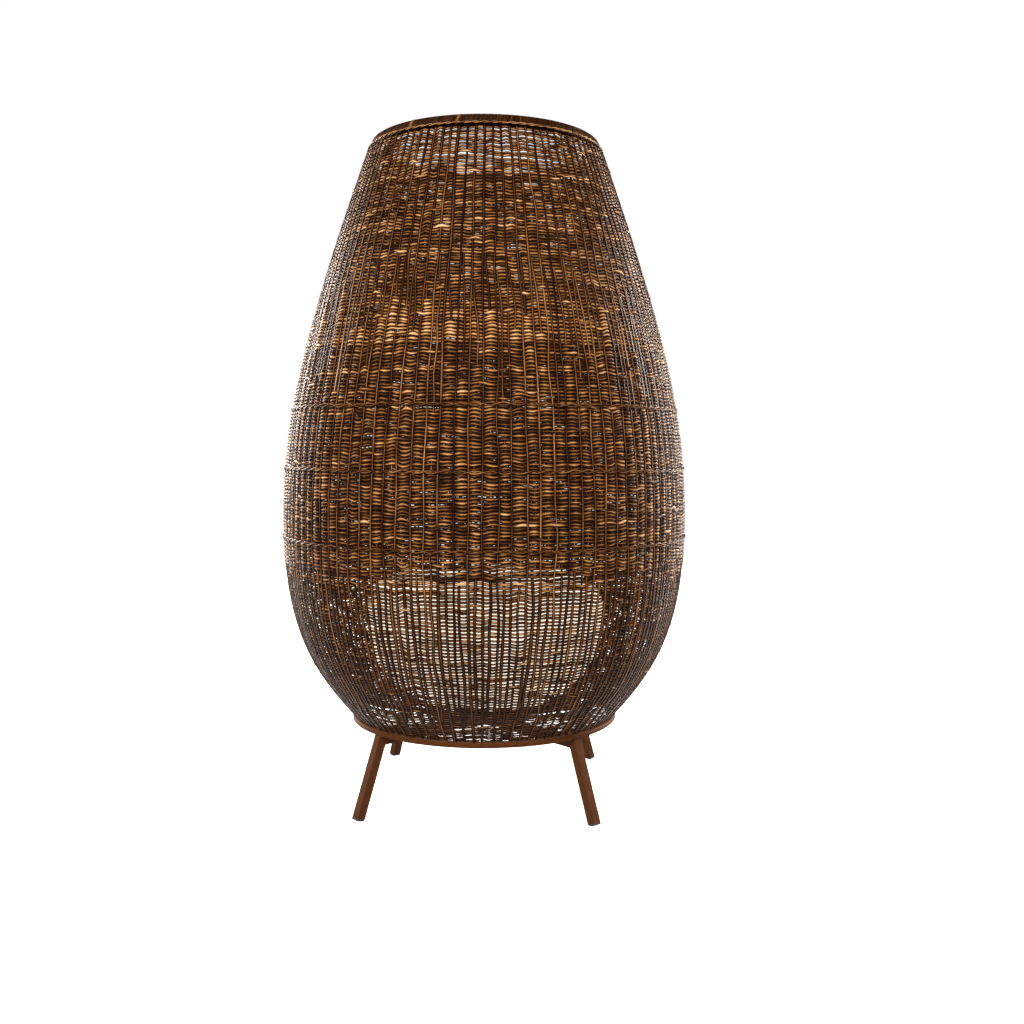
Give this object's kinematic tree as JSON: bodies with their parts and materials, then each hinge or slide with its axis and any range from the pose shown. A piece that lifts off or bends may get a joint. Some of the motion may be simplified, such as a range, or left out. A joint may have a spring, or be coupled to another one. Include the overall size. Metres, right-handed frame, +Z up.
{
  "type": "woven floor lantern",
  "caption": "Egg-shaped woven wicker floor lantern on splayed legs; the shade lifts off over an opal diffuser that turns in a bayonet above a screw-in bulb.",
  "frame": {"origin": "on the floor, on the lantern's axis", "axes": "+Z up along the axis; -Y is the front, and the legs stand on the diagonals; the cable gland is towards +Y"},
  "size_m": [0.571, 0.571, 0.92],
  "materials": {
    "wicker": "woven round strand, brown, semi-matt",
    "ring_paint": "satin brown powder coat",
    "frame_paint": "matt dark brown powder coat",
    "leg_paint": "satin brown powder coat",
    "foot_plastic": "moulded dark brown",
    "zinc_steel": "zinc plated",
    "housing_plastic": "moulded dark brown",
    "seal_rubber": "moulded",
    "holder_plastic": "moulded white",
    "brass": "rolled thread sleeve",
    "lead_insulation": "silicone sleeving",
    "cap_metal": "nickel plated",
    "bulb_plastic": "moulded white",
    "opal": "translucent opal, rotationally moulded",
    "bulb_opal": "translucent opal"
  },
  "bodies": {
    "base": {"base_housing": "housing_plastic", "cable_gland": "housing_plastic", "centre_contact": "zinc_steel", "cross_tube_left": "leg_paint", "cross_tube_right": "leg_paint", "cross_tube_through": "leg_paint", "foot_plug_front_left": "foot_plastic", "foot_plug_front_right": "foot_plastic", "foot_plug_rear_left": "foot_plastic", "foot_plug_rear_right": "foot_plastic", "gland_locknut": "housing_plastic", "gland_nut": "housing_plastic", "gland_seal": "seal_rubber", "holder_leads": "lead_insulation", "holder_plate": "housing_plastic", "holder_sleeve": "brass", "housing_gasket": "seal_rubber", "hub_plate": "leg_paint", "hub_screws": "zinc_steel", "lamp_holder": "holder_plastic", "leg_front_left": "leg_paint", "leg_front_right": "leg_paint", "leg_rear_left": "leg_paint", "leg_rear_right": "leg_paint", "plate_screws": "zinc_steel", "terminal_block": "holder_plastic"},
    "shade": {"woven_shell": "wicker", "rim_border": "wicker", "top_hoop": "frame_paint", "trim_braid": "wicker", "base_ring": "ring_paint", "locating_studs": "ring_paint", "frame_hoop_lower": "frame_paint", "frame_hoop_middle": "frame_paint", "frame_hoop_upper": "frame_paint", "frame_rib_1": "frame_paint", "frame_rib_2": "frame_paint", "frame_rib_3": "frame_paint", "frame_rib_4": "frame_paint", "frame_rib_5": "frame_paint", "frame_rib_6": "frame_paint", "frame_rib_7": "frame_paint", "frame_rib_8": "frame_paint"},
    "diffuser_unit": {"diffuser": "opal", "bayonet_collar": "housing_plastic"},
    "bulb": {"bulb_cap": "cap_metal", "bulb_heatsink": "bulb_plastic", "bulb_dome": "bulb_opal", "led_board": "bulb_plastic"}
  },
  "joints": [
    {"name": "shade_lift", "type": "slide", "parent": "base", "child": "shade", "axis": [0, 0, 1], "range_m": [0, 0.22]},
    {"name": "diffuser_turn", "type": "hinge", "parent": "base", "child": "diffuser_unit", "pos_m": [0, 0, 0.12], "axis": [0, 0, 1], "range_deg": [0, 25]},
    {"name": "bulb_turn", "type": "hinge", "parent": "base", "child": "bulb", "pos_m": [0, 0, 0.15], "axis": [0, 0, 1], "range_deg": [0, 1080]}
  ]
}
